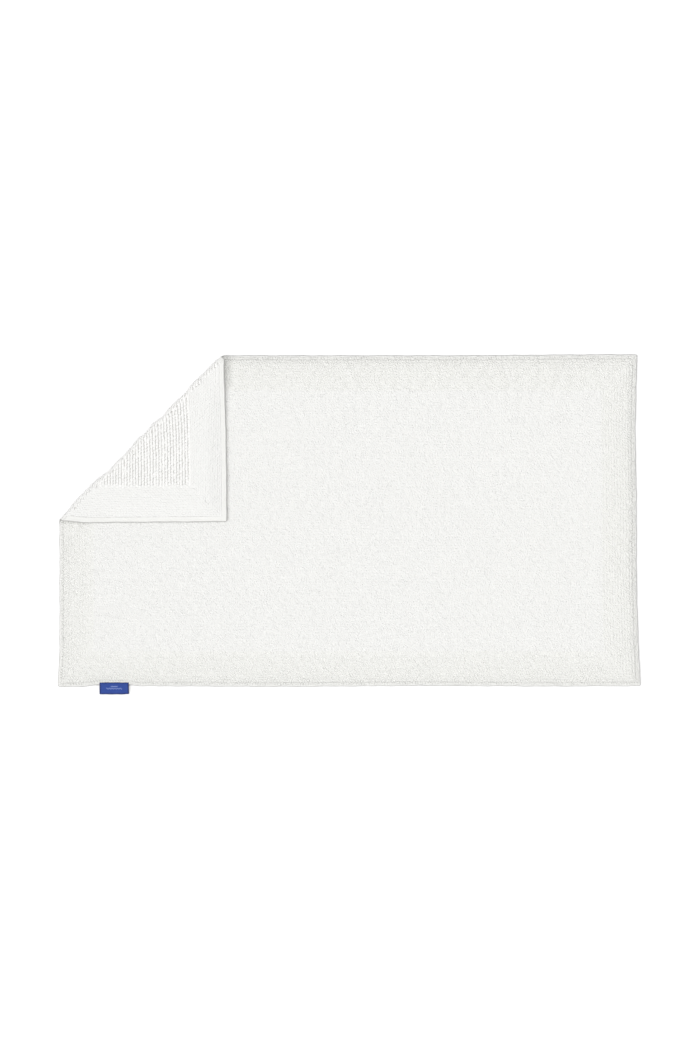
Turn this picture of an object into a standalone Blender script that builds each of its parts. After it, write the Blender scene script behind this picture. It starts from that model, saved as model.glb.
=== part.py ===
"""Tufted cotton bath mat with a hemmed edge and one corner folded over.

The mat is modelled lying flat, centred on the origin, with its long side along X, its underside
at Z = 0 and its pile up. The corner at -X, +Y is cut off along the crease and parented to an empty
on the crease line, which is then turned half a turn, so that the corner lies face down on the mat.
The cloth that bends round the crease is modelled where it lies when the corner is folded.
"""

import math

import bpy
from mathutils import Vector

# The whole mat, in metres.
LENGTH = 1.000
WIDTH = 0.573
GAP = 0.0003

# Heights of the layers above the floor, where the mat lies flat.
BOBBIN_THREAD_Z = (0.0001, 0.0004)
TAPE_UNDER_Z = (0.0007, 0.0013)
BACK_STITCH_Z = (0.0000, 0.0013)
BACKING_Z = (0.0016, 0.0024)
TAPE_UPPER_Z = (0.0027, 0.0033)
NEEDLE_THREAD_Z = (0.0036, 0.0040)
PILE_BOTTOM = 0.0027
FIELD_PILE_TOP = 0.0100
BORDER_PILE_TOP = 0.0092

# How far each band reaches in from the mat's edge.
TAPE_THICKNESS = 0.0006
TAPE_UPPER_REACH = 0.0050
TAPE_UNDER_REACH = 0.0090
SEAM_INSET = 0.0041
THREAD_WIDTH = 0.0006
BORDER_REACH = 0.0600

# The folded corner. The crease starts half way up the short side and runs at 45 degrees.
FOLD_LEG = WIDTH / 2
FOLD_ANGLE = math.pi
AXIS_HEIGHT = FIELD_PILE_TOP + GAP / 2
ROLL_CENTRE = 0.0040
ROLL_REACH = AXIS_HEIGHT - ROLL_CENTRE
ROLL_STEPS = 14
SHEET_CLEARANCE = ROLL_CENTRE + GAP
PILE_CLEARANCE = GAP / 2

# The woven label: a short ribbon folded in two, caught under the front hem's seam.
LABEL_CENTRE = 0.0934
LABEL_WIDTH = 0.0520
LABEL_REACH_IN = 0.0050
LABEL_REACH_OUT = 0.0122
LABEL_LEAF = 0.00045
LABEL_RAMP = 0.0015

ROOT2 = math.sqrt(2)
UP = Vector((0, 0, 1))
CREASE_START = Vector((-LENGTH / 2, WIDTH / 2 - FOLD_LEG, 0))
CREASE_ALONG = Vector((1, 1, 0)).normalized()
CREASE_INWARD = Vector((1, -1, 0)).normalized()
CREASE_LENGTH = FOLD_LEG * ROOT2

# Each side starts at one corner and runs with the mat on its left: corner, heading and length.
SIDES = {
    "front": ((-LENGTH / 2, -WIDTH / 2), 0.0, LENGTH),
    "right": ((LENGTH / 2, -WIDTH / 2), math.pi / 2, WIDTH),
    "back": ((LENGTH / 2, WIDTH / 2), math.pi, LENGTH),
    "left": ((-LENGTH / 2, WIDTH / 2), -math.pi / 2, WIDTH),
}


def clear_scene():
    for old in list(bpy.data.objects):
        bpy.data.objects.remove(old, do_unlink=True)


def cloth_material(name, colour, roughness):
    """A dull, non-metallic finish in one colour."""
    material = bpy.data.materials.new(name)
    material.use_nodes = True
    shader = material.node_tree.nodes["Principled BSDF"]
    shader.inputs["Base Color"].default_value = (*colour, 1)
    shader.inputs["Roughness"].default_value = roughness
    shader.inputs["Metallic"].default_value = 0
    return material


def add_object(name, points, faces, material):
    mesh = bpy.data.meshes.new(name)
    mesh.from_pydata([tuple(point) for point in points], [], faces)
    mesh.materials.append(material)
    piece = bpy.data.objects.new(name, mesh)
    bpy.context.scene.collection.objects.link(piece)
    return piece


def solid_from_rings(name, rings, material):
    """A closed solid through rings of equally many points, each ring seen clockwise from the next."""
    count = len(rings[0])
    points = [point for ring in rings for point in ring]
    faces = [tuple(reversed(range(count)))]
    for first in range(0, count * (len(rings) - 1), count):
        for k in range(count):
            after = (k + 1) % count
            faces.append((first + k, first + after, first + count + after, first + count + k))
    faces.append(tuple(range(count * (len(rings) - 1), count * len(rings))))
    return add_object(name, points, faces, material)


def strip_ends(part, side, inset, clearance):
    """Where a strip starts and ends along its side, at one distance in from the edge.

    It is mitred at the mat's corners and cut along the crease. clearance keeps it off the crease.
    """
    length = SIDES[side][2]
    start = inset + GAP
    end = length - inset - GAP
    if part == "flap":
        clearance = -clearance
    if side == "back":
        cut = length - FOLD_LEG + inset - ROOT2 * clearance
    if side == "left":
        cut = FOLD_LEG - inset + ROOT2 * clearance
    if (part, side) in (("mat", "back"), ("flap", "left")):
        end = cut
    if (part, side) in (("mat", "left"), ("flap", "back")):
        start = cut
    return start, end


def place_on_side(strip, side):
    """Puts a strip built along X, with the mat at +Y, on one side of the mat."""
    corner, heading, _ = SIDES[side]
    strip.location = (*corner, 0)
    strip.rotation_euler = (0, 0, heading)
    return strip


def side_strip(name, part, side, section, material, steps=()):
    """A strip along one side of the mat, or along the part of it that the flap has.

    section lists (distance in from the edge, height, clearance to the crease), clockwise seen
    from the side's start. steps lists (distance along the side, lift) between the strip's ends.
    """
    first = []
    last = []
    for inset, z, clearance in section:
        start, end = strip_ends(part, side, inset, clearance)
        first.append(Vector((start, inset, z)))
        last.append(Vector((end, inset, z)))
    rings = [first]
    for along, lift in steps:
        rings.append([Vector((along, inset, z + lift)) for inset, z, _ in section])
    rings.append(last)
    return place_on_side(solid_from_rings(name, rings, material), side)


def box_section(near, far, heights, bottom_clearance, top_clearance):
    low, high = heights
    return [
        (near, low, bottom_clearance),
        (far, low, bottom_clearance),
        (far, high, top_clearance),
        (near, high, top_clearance),
    ]


def tape_section():
    """The hem tape seen end on: folded round the edge, narrower on the pile side."""
    outline = [
        (0, TAPE_UNDER_Z[0]),
        (TAPE_UNDER_REACH, TAPE_UNDER_Z[0]),
        (TAPE_UNDER_REACH, TAPE_UNDER_Z[1]),
        (TAPE_THICKNESS, TAPE_UNDER_Z[1]),
        (TAPE_THICKNESS, TAPE_UPPER_Z[0]),
        (TAPE_UPPER_REACH, TAPE_UPPER_Z[0]),
        (TAPE_UPPER_REACH, TAPE_UPPER_Z[1]),
        (0, TAPE_UPPER_Z[1]),
    ]
    return [(inset, z, SHEET_CLEARANCE) for inset, z in outline]


def thread_section(heights):
    far = SEAM_INSET + THREAD_WIDTH
    return box_section(SEAM_INSET, far, heights, SHEET_CLEARANCE, SHEET_CLEARANCE)


def pile_section():
    """Border pile seen end on. It leans towards the crease, clear of the cloth that bends there."""
    near = TAPE_UPPER_REACH + GAP
    heights = (PILE_BOTTOM, BORDER_PILE_TOP)
    return box_section(near, BORDER_REACH, heights, SHEET_CLEARANCE, PILE_CLEARANCE)


def back_stitch_section():
    near = TAPE_UNDER_REACH + GAP
    return box_section(near, BORDER_REACH, BACK_STITCH_Z, SHEET_CLEARANCE, SHEET_CLEARANCE)


def bands():
    """What runs along every side: name, section, material."""
    return [
        ("border_pile", pile_section(), MATERIALS["pile"]),
        ("border_back_stitches", back_stitch_section(), MATERIALS["back_stitches"]),
        ("hem_tape", tape_section(), MATERIALS["hem_tape"]),
        ("needle_thread", thread_section(NEEDLE_THREAD_Z), MATERIALS["thread"]),
        ("bobbin_thread", thread_section(BOBBIN_THREAD_Z), MATERIALS["thread"]),
    ]


def mat_outline(inset, clearance):
    """The main part seen from above, five-sided, stopping short of the crease."""
    left = -LENGTH / 2 + inset
    right = LENGTH / 2 - inset
    front = -WIDTH / 2 + inset
    back = WIDTH / 2 - inset
    return [
        (left, front),
        (right, front),
        (right, back),
        (back - LENGTH / 2 + ROOT2 * clearance, back),
        (left, inset - ROOT2 * clearance),
    ]


def flap_outline(inset, clearance):
    """The corner flap seen from above as it lies unfolded, three-sided."""
    left = -LENGTH / 2 + inset
    back = WIDTH / 2 - inset
    return [
        (left, back),
        (left, inset + ROOT2 * clearance),
        (back - LENGTH / 2 - ROOT2 * clearance, back),
    ]


def sheet_layers():
    """What covers the whole mat or its field: name, inset, heights, top clearance, material."""
    edge = TAPE_THICKNESS + GAP
    field = BORDER_REACH + GAP
    pile_heights = (PILE_BOTTOM, FIELD_PILE_TOP)
    return [
        ("backing_cloth", edge, BACKING_Z, SHEET_CLEARANCE, MATERIALS["backing"]),
        ("field_back_stitches", field, BACK_STITCH_Z, SHEET_CLEARANCE, MATERIALS["back_stitches"]),
        ("field_pile", field, pile_heights, PILE_CLEARANCE, MATERIALS["pile"]),
    ]


def layer_solid(name, outline_of, inset, heights, top_clearance, material):
    """An upright slab whose cut along the crease may lean."""
    rings = []
    for z, clearance in zip(heights, (SHEET_CLEARANCE, top_clearance)):
        rings.append([Vector((x, y, z)) for x, y in outline_of(inset, clearance)])
    return solid_from_rings(name, rings, material)


def label_stack():
    """Height of the folded label: two leaves with a gap between them."""
    return 2 * LABEL_LEAF + GAP


def steps_over_label():
    """Where the front seam's needle thread climbs over the label and down again."""
    first = LABEL_CENTRE - LABEL_WIDTH / 2 - GAP
    last = LABEL_CENTRE + LABEL_WIDTH / 2 + GAP
    lift = label_stack() + GAP
    return [(first - LABEL_RAMP, 0), (first, lift), (last, lift), (last + LABEL_RAMP, 0)]


def build_mat():
    for name, inset, heights, top_clearance, material in sheet_layers():
        layer_solid(name, mat_outline, inset, heights, top_clearance, material)
    for name, section, material in bands():
        for side in SIDES:
            over_label = name == "needle_thread" and side == "front"
            steps = steps_over_label() if over_label else ()
            side_strip(f"{name}_{side}", "mat", side, section, material, steps)


def build_label():
    low = NEEDLE_THREAD_Z[0]
    high = low + label_stack()
    fold = LABEL_LEAF - LABEL_REACH_OUT
    section = [
        (-LABEL_REACH_OUT, low),
        (LABEL_REACH_IN, low),
        (LABEL_REACH_IN, low + LABEL_LEAF),
        (fold, low + LABEL_LEAF),
        (fold, high - LABEL_LEAF),
        (LABEL_REACH_IN, high - LABEL_LEAF),
        (LABEL_REACH_IN, high),
        (-LABEL_REACH_OUT, high),
    ]
    rings = []
    for along in (LABEL_CENTRE - LABEL_WIDTH / 2, LABEL_CENTRE + LABEL_WIDTH / 2):
        rings.append([Vector((along, inset, z)) for inset, z in section])
    place_on_side(solid_from_rings("woven_label", rings, MATERIALS["label"]), "front")


def build_flap():
    """The corner beyond the crease, built flat and then turned over by its parent empty."""
    axis = bpy.data.objects.new("corner_fold_axis", None)
    axis.location = CREASE_START + CREASE_ALONG * CREASE_LENGTH / 2 + UP * AXIS_HEIGHT
    bpy.context.scene.collection.objects.link(axis)
    pieces = []
    for name, inset, heights, top_clearance, material in sheet_layers():
        flap_name = f"flap_{name}"
        pieces.append(layer_solid(flap_name, flap_outline, inset, heights, top_clearance, material))
    for name, section, material in bands():
        for side in ("back", "left"):
            pieces.append(side_strip(f"flap_{name}_{side}", "flap", side, section, material))
    for piece in pieces:
        piece.parent = axis
        piece.location -= axis.location
    axis.rotation_mode = "AXIS_ANGLE"
    axis.rotation_axis_angle = (FOLD_ANGLE, *CREASE_ALONG)


def roll_point(end, inset, z, turn):
    """A point of the cloth where it bends round the crease.

    inset and z are its distance in from the mat's edge and its height as if it lay flat. turn
    goes from 0, on the main part, to pi, on the flap. The edge leans in round the bend, so that
    the bend stays inside the mat's outline.
    """
    radius = AXIS_HEIGHT - z
    along = ROOT2 * inset - ROLL_CENTRE * math.cos(turn) + ROLL_REACH * math.sin(turn)
    if end == "back":
        along = CREASE_LENGTH - along
    inward = ROLL_CENTRE - radius * math.sin(turn)
    height = AXIS_HEIGHT - radius * math.cos(turn)
    return CREASE_START + CREASE_ALONG * along + CREASE_INWARD * inward + UP * height


def crease_piece(name, corners, material):
    """A solid bent round the crease, through (end, inset, z) corners seen clockwise on the flap."""
    turns = [math.pi * step / ROLL_STEPS for step in range(ROLL_STEPS + 1)]
    rings = [[roll_point(end, inset, z, turn) for end, inset, z in corners] for turn in turns]
    return solid_from_rings(name, rings, material)


def build_crease():
    """The cloth, tape and thread that bend round the crease and flatten when it unfolds."""
    sheets = [
        ("crease_backing_cloth", TAPE_THICKNESS + GAP, BACKING_Z, MATERIALS["backing"]),
        ("crease_back_stitches", TAPE_UNDER_REACH + GAP, BACK_STITCH_Z, MATERIALS["back_stitches"]),
    ]
    for name, inset, (low, high), material in sheets:
        ends = [("left", inset, high), ("back", inset, high), ("back", inset, low), ("left", inset, low)]
        crease_piece(name, ends, material)
    for end in ("left", "back"):
        for name, section, material in (
            ("crease_hem_tape", tape_section(), MATERIALS["hem_tape"]),
            ("crease_needle_thread", thread_section(NEEDLE_THREAD_Z), MATERIALS["thread"]),
            ("crease_bobbin_thread", thread_section(BOBBIN_THREAD_Z), MATERIALS["thread"]),
        ):
            corners = [(end, inset, z) for inset, z, _ in section]
            if end == "left":
                corners.reverse()
            crease_piece(f"{name}_{end}", corners, material)


clear_scene()
MATERIALS = {
    "pile": cloth_material("cotton_pile", (0.88, 0.88, 0.86), 0.95),
    "back_stitches": cloth_material("cotton_back_stitches", (0.84, 0.84, 0.81), 0.95),
    "backing": cloth_material("cotton_backing_cloth", (0.82, 0.81, 0.77), 0.90),
    "hem_tape": cloth_material("cotton_hem_tape", (0.84, 0.84, 0.82), 0.85),
    "thread": cloth_material("sewing_thread", (0.86, 0.86, 0.84), 0.70),
    "label": cloth_material("blue_woven_ribbon", (0.020, 0.045, 0.270), 0.60),
}
build_mat()
build_label()
build_flap()
build_crease()
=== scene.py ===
import math

import bpy
import numpy as np
from mathutils import Euler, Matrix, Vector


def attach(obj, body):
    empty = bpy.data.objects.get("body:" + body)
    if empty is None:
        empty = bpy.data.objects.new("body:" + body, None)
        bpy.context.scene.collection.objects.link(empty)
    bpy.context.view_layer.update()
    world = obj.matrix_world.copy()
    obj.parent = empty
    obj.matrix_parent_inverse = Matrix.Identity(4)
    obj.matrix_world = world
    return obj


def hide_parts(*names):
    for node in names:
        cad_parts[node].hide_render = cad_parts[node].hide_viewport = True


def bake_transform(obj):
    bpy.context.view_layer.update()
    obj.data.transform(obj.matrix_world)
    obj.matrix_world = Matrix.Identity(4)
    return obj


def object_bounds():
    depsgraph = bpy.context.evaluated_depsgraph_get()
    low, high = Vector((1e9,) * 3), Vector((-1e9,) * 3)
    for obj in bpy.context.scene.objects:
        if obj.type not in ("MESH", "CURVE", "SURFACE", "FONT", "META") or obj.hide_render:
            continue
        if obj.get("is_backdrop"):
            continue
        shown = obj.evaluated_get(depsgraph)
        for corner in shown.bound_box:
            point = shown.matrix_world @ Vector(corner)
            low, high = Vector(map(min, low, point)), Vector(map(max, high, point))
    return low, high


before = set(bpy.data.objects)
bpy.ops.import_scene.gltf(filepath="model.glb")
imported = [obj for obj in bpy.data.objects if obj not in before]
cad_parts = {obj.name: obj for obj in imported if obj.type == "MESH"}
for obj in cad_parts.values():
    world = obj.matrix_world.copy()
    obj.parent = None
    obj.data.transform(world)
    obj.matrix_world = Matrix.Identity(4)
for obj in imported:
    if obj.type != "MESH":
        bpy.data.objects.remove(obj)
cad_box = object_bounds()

# ---------------------------------------------------------------------------
# Camera, floor and light. The mat lies on a plain white floor and is seen from
# straight above, under soft daylight that comes from its folded end.
# ---------------------------------------------------------------------------
CAMERA_PLACE = (0.0034, -0.0072, 4.300)
SKY_STRENGTH = 0.34
SOFTBOX_POWER = 240
SOFTBOX_WIDTH = 5.0
SOFTBOX_HEIGHT = 5.2
SUN_STRENGTH = 1.05
SUN_SOFTNESS = 26
SUN_TILT = 45
SUN_HEADING = -66
FLOOR_HALF = 9.0
FLOOR_DROP = -0.0003

scene = bpy.context.scene
scene.view_settings.view_transform = "Standard"
scene.view_settings.look = "None"

lens = bpy.data.cameras.new("Camera")
lens.lens = 85
lens.sensor_width = 36
lens.clip_end = 100
camera = bpy.data.objects.new("Camera", lens)
camera.location = CAMERA_PLACE
scene.collection.objects.link(camera)
scene.camera = camera

sky = bpy.data.worlds.new("Soft sky")
sky.use_nodes = True
sky.node_tree.nodes["Background"].inputs["Color"].default_value = (1, 1, 1, 1)
sky.node_tree.nodes["Background"].inputs["Strength"].default_value = SKY_STRENGTH
scene.world = sky

sun_lamp = bpy.data.lights.new("Window light", "SUN")
sun_lamp.energy = SUN_STRENGTH
sun_lamp.angle = math.radians(SUN_SOFTNESS)
sun = bpy.data.objects.new("Window light", sun_lamp)
sun.rotation_euler = Euler((math.radians(SUN_TILT), 0, math.radians(SUN_HEADING)), "XYZ")
scene.collection.objects.link(sun)

box_lamp = bpy.data.lights.new("Softbox", "AREA")
box_lamp.shape = "SQUARE"
box_lamp.size = SOFTBOX_WIDTH
box_lamp.energy = SOFTBOX_POWER
softbox = bpy.data.objects.new("Softbox", box_lamp)
softbox.location = (0, 0, SOFTBOX_HEIGHT)
scene.collection.objects.link(softbox)

floor_paint = bpy.data.materials.new("White floor")
floor_paint.use_nodes = True
floor_shader = floor_paint.node_tree.nodes["Principled BSDF"]
floor_shader.inputs["Base Color"].default_value = (0.902, 0.902, 0.902, 1)
floor_shader.inputs["Roughness"].default_value = 0.9
floor_shader.inputs["Specular IOR Level"].default_value = 0.0
floor_mesh = bpy.data.meshes.new("Floor")
floor_mesh.from_pydata(
    [(x * FLOOR_HALF, y * FLOOR_HALF, FLOOR_DROP) for x, y in ((-1, -1), (1, -1), (1, 1), (-1, 1))],
    [],
    [(0, 1, 2, 3)],
)
floor_mesh.materials.append(floor_paint)
floor = bpy.data.objects.new("Floor", floor_mesh)
scene.collection.objects.link(floor)
floor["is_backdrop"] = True

# ---------------------------------------------------------------------------
# Backing cloth. A plain cotton weave that all the pile yarn is stitched into.
# It runs to the hem on every side and is one sheet on the real mat; here it is
# cut at the crease into the flat mat, the corner flap and the bend between them.
# ---------------------------------------------------------------------------
HALF_LENGTH = 0.5
HALF_WIDTH = 0.2865
CLOTH_Z = (0.0016, 0.0024)
CLOTH_INSET = 0.0012
CLOTH_STEP = 0.010
# The pile's lowest and highest points, between which it is squeezed where the flap droops.
PILE_ROOT = 0.0027
PILE_TIP = 0.0100

# The fold. In the flat mat the crease leaves the left side half way up, at 45 degrees. The bend
# is half a turn about an axis half way up to the top of the folded corner.
FOLD_HEIGHT = 0.0203
FOLD_AXIS_Z = FOLD_HEIGHT / 2
BEND_START = 0.0040
CREASE_LENGTH = HALF_WIDTH * math.sqrt(2)
LEFT_PINCH = 0.46
LEFT_PINCH_REACH = 0.050
BACK_PINCH = 0.25
BACK_PINCH_REACH = 0.020
FOLD_FULLNESS = 0.90
FOLD_RIPPLE = 0.03
# Where the fold is pressed flatter: place along the crease, spread, depth.
PRESSED_SPOTS = (
    (0.118, 0.016, 0.36),
    (0.158, 0.030, 0.38),
    (0.216, 0.014, 0.26),
    (0.256, 0.012, 0.38),
    (0.290, 0.022, 0.16),
    (0.314, 0.012, 0.20),
    (0.368, 0.016, 0.10),
)

# How far the outline strays from a true rectangle, outwards unless it says otherwise.
FRONT_RIGHT_SPLAY = 0.0072
FRONT_LEFT_SPLAY = 0.0028
RIGHT_HOLLOW = 0.0019
BACK_RIGHT_SWELL = 0.0008
BACK_RISE = 0.0019
FRONT_LEFT_DROP = 0.0016
LABEL_PULL_X = -0.4066
LABEL_PULL_REACH = 0.034
LABEL_PULL = 0.0040
# The front hem's wander: place along it, spread, how far inwards.
FRONT_WANDER = ((0.13, 0.05, 0.0007), (-0.13, 0.13, -0.0009), (0.35, 0.06, -0.0005))

# The free edges of the flap hang down beside the pile, except close to the crease.
FLAP_DROOP = 0.0057
DROOP_REACH = 0.034
FLAP_LIFT = 0.0032
# Those edges aren't straight either: how far each one sways at the crease and on towards the tip.
RIGHT_EDGE_SWAY = (-0.0022, 0.0072)
FRONT_EDGE_SWAY = (-0.0037, 0.0024)
TIP_SWAY = 0.0016

WEAVE_PITCH = 0.0014
CLOTH_COLOUR = (0.81, 0.805, 0.78, 1)
CLOTH_GAP_COLOUR = (0.70, 0.69, 0.66, 1)


class Wire:
    """One node output. Sums and products of wires add the Math nodes that work them out."""

    def __init__(self, nodes, socket):
        self.nodes = nodes
        self.socket = socket

    def also(self, name):
        """Another output of the same node."""
        return Wire(self.nodes, self.socket.node.outputs[name])

    def maths(self, operation, *values):
        return self.nodes.add("ShaderNodeMath", {"operation": operation}, dict(enumerate(values)))

    def __add__(self, other):
        return self.maths("ADD", self, other)

    def __radd__(self, other):
        return self.maths("ADD", other, self)

    def __sub__(self, other):
        return self.maths("SUBTRACT", self, other)

    def __rsub__(self, other):
        return self.maths("SUBTRACT", other, self)

    def __mul__(self, other):
        return self.maths("MULTIPLY", self, other)

    def __rmul__(self, other):
        return self.maths("MULTIPLY", other, self)

    def __truediv__(self, other):
        return self.maths("DIVIDE", self, other)

    def __mod__(self, other):
        return self.maths("FLOORED_MODULO", self, other)

    def sine(self):
        return self.maths("SINE", self)

    def cosine(self):
        return self.maths("COSINE", self)

    def floor(self):
        return self.maths("FLOOR", self)

    def size(self):
        return self.maths("ABSOLUTE", self)

    def ease(self, start, end, low, high):
        """From low to high as this goes from start to end, and smooth at both ends."""
        return self.nodes.add(
            "ShaderNodeMapRange",
            {"interpolation_type": "SMOOTHSTEP"},
            {"Value": self, "From Min": start, "From Max": end, "To Min": low, "To Max": high},
        )


class Nodes:
    """A node tree that is added to one node at a time: type, settings, then what its sockets get."""

    def __init__(self, tree):
        self.tree = tree

    def add(self, kind, settings=(), sockets=(), output=0):
        made = self.tree.nodes.new(kind)
        for name, value in dict(settings).items():
            setattr(made, name, value)
        for key, value in dict(sockets).items():
            if isinstance(key, int):
                socket = made.inputs[key]
            else:
                socket = next(s for s in made.inputs if s.name == key and s.enabled)
            if isinstance(value, Wire):
                self.tree.links.new(value.socket, socket)
            else:
                socket.default_value = value
        if isinstance(output, str):
            return Wire(self, made.outputs[output])
        shown = [s for s in made.outputs if s.enabled]
        return Wire(self, shown[output]) if shown else None

    def mix(self, factor, first, second):
        """A colour between two colours."""
        return self.add(
            "ShaderNodeMix", {"data_type": "RGBA"}, {"Factor": factor, "A": first, "B": second}
        )

    def noise(self, place, scale, detail=2.0, roughness=0.5):
        return self.add(
            "ShaderNodeTexNoise",
            {},
            {"Vector": place, "Scale": scale, "Detail": detail, "Roughness": roughness},
        )


def cloth_finish(name, roughness, sheen):
    """A fabric material: its nodes, its place on the object and the shader to feed."""
    material = bpy.data.materials.new(name)
    material.use_nodes = True
    nodes = Nodes(material.node_tree)
    shader = material.node_tree.nodes["Principled BSDF"]
    shader.inputs["Roughness"].default_value = roughness
    shader.inputs["Sheen Weight"].default_value = sheen
    shader.inputs["Sheen Roughness"].default_value = 0.5
    shader.inputs["Specular IOR Level"].default_value = 0.25
    place = nodes.add("ShaderNodeTexCoord", {}, {}, "Object")
    return material, nodes, shader, place


def finish_with(nodes, shader, colour, height, depth, strength=1.0):
    """Gives the shader its colour, and a relief that is depth deep where height is 1."""
    nodes.tree.links.new(colour.socket, shader.inputs["Base Color"])
    relief = nodes.add(
        "ShaderNodeBump", {}, {"Height": height, "Distance": depth, "Strength": strength}
    )
    nodes.tree.links.new(relief.socket, shader.inputs["Normal"])


def weave_material():
    """Over-and-under plain weave of a slubby, unbleached yarn."""
    material, nodes, shader, place = cloth_finish("Backing weave", 0.95, 0.1)
    wobble = nodes.noise(place, 190.0)
    apart = nodes.add("ShaderNodeSeparateXYZ", {}, {"Vector": place})
    turns = 2 * math.pi / WEAVE_PITCH
    warp = (apart.also("X") * turns + wobble * 2.0).sine()
    weft = (apart.also("Y") * turns + wobble * 2.0).sine()
    over = warp * weft * 0.25 + warp.size() * 0.35 + weft.size() * 0.35
    slub = nodes.noise(place, 900.0, 3.0)
    colour = nodes.mix(over.ease(0.1, 0.7, 0, 1), CLOTH_GAP_COLOUR, CLOTH_COLOUR)
    finish_with(nodes, shader, colour, over + slub * 0.3, 0.0003)
    return material


def add_piece(name, points, faces, material):
    """A new smooth-shaded mesh piece at the origin."""
    mesh = bpy.data.meshes.new(name)
    mesh.from_pydata([tuple(p) for p in points], [], faces)
    mesh.materials.append(material)
    mesh.shade_smooth()
    piece = bpy.data.objects.new(name, mesh)
    scene.collection.objects.link(piece)
    return piece


def swept(name, rings, material):
    """A closed body through rings of points, capped at both ends, with its faces outward."""
    rings = np.asarray(rings, float)
    stations, around = rings.shape[:2]
    points = rings.reshape(-1, 3)
    here = np.arange(stations - 1)[:, None] * around + np.arange(around)
    after = np.arange(stations - 1)[:, None] * around + (np.arange(around) + 1) % around
    quads = np.stack([here, here + around, after + around, after], -1).reshape(-1, 4)
    corner = points[quads]
    halves = np.concatenate([corner[:, (0, 1, 2)], corner[:, (0, 2, 3)]]) - points.mean(0)
    volume = np.einsum("ij,ij->i", halves[:, 0], np.cross(halves[:, 1], halves[:, 2])).sum()
    first = list(range(around))
    last = [(stations - 1) * around + k for k in range(around)]
    faces = [tuple(f) for f in quads.tolist()] + [tuple(first), tuple(reversed(last))]
    if volume < 0:
        faces = [tuple(reversed(f)) for f in faces]
    return add_piece(name, points, faces, material)


def eased(value, start, end):
    """0 before start and 1 after end, smooth between, for numbers or arrays."""
    part = np.clip((np.asarray(value, float) - start) / (end - start), 0, 1)
    return part * part * (3 - 2 * part)


def inward(x, y):
    """How far a point of the flat mat lies from the crease, towards the middle of the mat."""
    return (x + HALF_LENGTH - y) / math.sqrt(2)


def hump(value, middle, spread):
    """1 at the middle, fading away smoothly on both sides."""
    return np.exp(-(((value - middle) / spread) ** 2))


def lie_on_floor(points):
    """Takes points of a true rectangle to the real outline: the front corners splay, the right side
    is slightly hollow, the front hem wanders by a millimetre and is drawn in at the label."""
    x, y, z = np.asarray(points, float).T.copy()
    right = eased(x, HALF_LENGTH - 0.16, HALF_LENGTH)
    left = eased(-x, HALF_LENGTH - 0.09, HALF_LENGTH)
    rear = eased(y, HALF_WIDTH - 0.09, HALF_WIDTH)
    near = eased(-y, HALF_WIDTH - 0.05, HALF_WIDTH)
    splay = FRONT_RIGHT_SPLAY * np.clip((-y - 0.06) / (HALF_WIDTH - 0.06), 0, 1) ** 1.8
    swell = BACK_RIGHT_SWELL * eased(y, 0.22, 0.28)
    move_x = right * (splay - RIGHT_HOLLOW * hump(y, 0.15, 0.07) + swell)
    move_x -= left * FRONT_LEFT_SPLAY * hump(y, -HALF_WIDTH, 0.04)
    move_y = rear * BACK_RISE * eased(x, 0.15, 0.5)
    drawn_in = LABEL_PULL * np.exp(-(((x - LABEL_PULL_X) / LABEL_PULL_REACH) ** 4))
    wander = sum(depth * hump(x, place, spread) for place, spread, depth in FRONT_WANDER)
    move_y += near * (drawn_in + wander - FRONT_LEFT_DROP * hump(x, -HALF_LENGTH, 0.04))
    return np.stack([x + move_x, y + move_y, z], -1)


def fold_over(points):
    """Takes a point of the flat mat's corner to where it lies on the mat once it is folded over.
    The flap's free edges droop and sway a little, and the right one is lifted near the crease."""
    x, y, z = np.asarray(points, float).T
    from_crease = eased(-inward(x, y), 0.008, 0.060)
    beside_left = 1 - eased(x + HALF_LENGTH, 0.004, DROOP_REACH)
    beside_back = 1 - eased(HALF_WIDTH - y, 0.004, DROOP_REACH)
    either = 1 - (1 - beside_left) * (1 - beside_back)
    held_up = np.clip((z - PILE_ROOT) / (PILE_TIP - PILE_ROOT), 0, 1)
    z = z + FLAP_DROOP * either * from_crease * (1 - held_up)
    folded_x, folded_y = y - HALF_LENGTH, x + HALF_LENGTH
    at_right_edge = eased(HALF_WIDTH - y, 0.17, 0.055)
    at_front_edge = eased(folded_y, 0.17, 0.055)
    down, across = 1 - folded_y / HALF_WIDTH, y / HALF_WIDTH
    free = eased(-inward(x, y), 0.004, 0.040)
    start_x, more_x = RIGHT_EDGE_SWAY
    start_y, more_y = FRONT_EDGE_SWAY
    sway_x = at_right_edge * free * (start_x + more_x * (1 - np.exp(-down / 0.42)))
    sway_y = at_front_edge * free * (start_y + more_y * across - TIP_SWAY * hump(across, 0.08, 0.08))
    lift = FLAP_LIFT * beside_back * free * hump(down, 0.12, 0.11)
    return np.stack([folded_x + sway_x, folded_y + sway_y, FOLD_HEIGHT - z + lift], -1)


def fold_shape(along):
    """How full the fold is at a place along the crease: how far its ends are pinched, and how far
    its nose stands out, both as shares of a half circle."""
    to_back = CREASE_LENGTH - along
    pinch = 1 - LEFT_PINCH * (1 - eased(along, 0, LEFT_PINCH_REACH))
    pinch = pinch - BACK_PINCH * (1 - eased(to_back, 0, BACK_PINCH_REACH))
    away = eased(np.minimum(along, to_back), 0.004, 0.03)
    nose = FOLD_FULLNESS + FOLD_RIPPLE * np.sin(along * 410.0) * away
    for spot, spread, depth in PRESSED_SPOTS:
        nose = nose - depth * hump(along, spot, spread)
    return pinch, pinch * nose


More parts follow.
